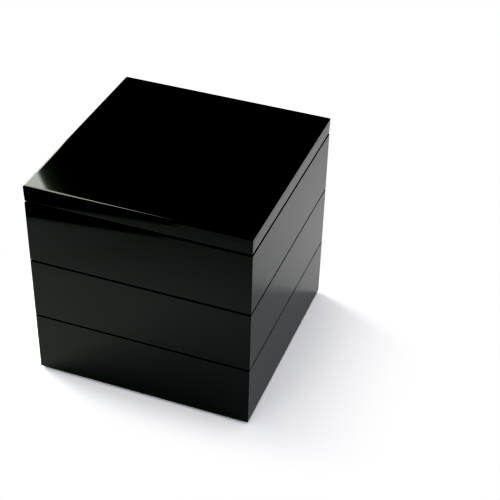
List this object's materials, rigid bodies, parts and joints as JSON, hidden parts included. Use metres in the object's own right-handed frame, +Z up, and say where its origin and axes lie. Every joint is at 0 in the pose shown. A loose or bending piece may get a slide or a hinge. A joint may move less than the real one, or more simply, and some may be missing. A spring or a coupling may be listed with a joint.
{
  "type": "stacking food box",
  "caption": "Square stacking food box in black gloss lacquer: mitred wooden trays that plug into one another, under a flat lift-off lid.",
  "frame": {"origin": "middle of the footprint, on the surface that the box stands on", "axes": "+Z up, along the way the tiers stack and lift off; -Y to the front face, +X to the right face"},
  "size_m": [0.196, 0.196, 0.194],
  "materials": {
    "gloss_black_lacquer": "wood under black high-gloss lacquer",
    "satin_black_lacquer": "wood under black satin lacquer",
    "bare_wood": "bare wood, hidden in the corners"
  },
  "bodies": {
    "bottom_tier": {"bottom_tier_front_wall": "gloss_black_lacquer", "bottom_tier_right_wall": "gloss_black_lacquer", "bottom_tier_back_wall": "gloss_black_lacquer", "bottom_tier_left_wall": "gloss_black_lacquer", "bottom_tier_floor": "satin_black_lacquer", "bottom_tier_front_right_spline": "bare_wood", "bottom_tier_back_right_spline": "bare_wood", "bottom_tier_back_left_spline": "bare_wood", "bottom_tier_front_left_spline": "bare_wood"},
    "middle_tier": {"middle_tier_front_wall": "gloss_black_lacquer", "middle_tier_right_wall": "gloss_black_lacquer", "middle_tier_back_wall": "gloss_black_lacquer", "middle_tier_left_wall": "gloss_black_lacquer", "middle_tier_floor": "satin_black_lacquer", "middle_tier_front_right_spline": "bare_wood", "middle_tier_back_right_spline": "bare_wood", "middle_tier_back_left_spline": "bare_wood", "middle_tier_front_left_spline": "bare_wood"},
    "top_tier": {"top_tier_front_wall": "gloss_black_lacquer", "top_tier_right_wall": "gloss_black_lacquer", "top_tier_back_wall": "gloss_black_lacquer", "top_tier_left_wall": "gloss_black_lacquer", "top_tier_floor": "satin_black_lacquer", "top_tier_front_right_spline": "bare_wood", "top_tier_back_right_spline": "bare_wood", "top_tier_back_left_spline": "bare_wood", "top_tier_front_left_spline": "bare_wood"},
    "lid": {"lid_top_panel": "gloss_black_lacquer", "lid_front_rail": "gloss_black_lacquer", "lid_right_rail": "gloss_black_lacquer", "lid_back_rail": "gloss_black_lacquer", "lid_left_rail": "gloss_black_lacquer", "lid_front_lip": "satin_black_lacquer", "lid_right_lip": "satin_black_lacquer", "lid_back_lip": "satin_black_lacquer", "lid_left_lip": "satin_black_lacquer"}
  },
  "joints": [
    {"name": "middle_tier_lift", "type": "slide", "parent": "bottom_tier", "child": "middle_tier", "axis": [0, 0, 1], "range_m": [0, 0.12]},
    {"name": "top_tier_lift", "type": "slide", "parent": "middle_tier", "child": "top_tier", "axis": [0, 0, 1], "range_m": [0, 0.12]},
    {"name": "lid_lift", "type": "slide", "parent": "top_tier", "child": "lid", "axis": [0, 0, 1], "range_m": [0, 0.12]}
  ]
}
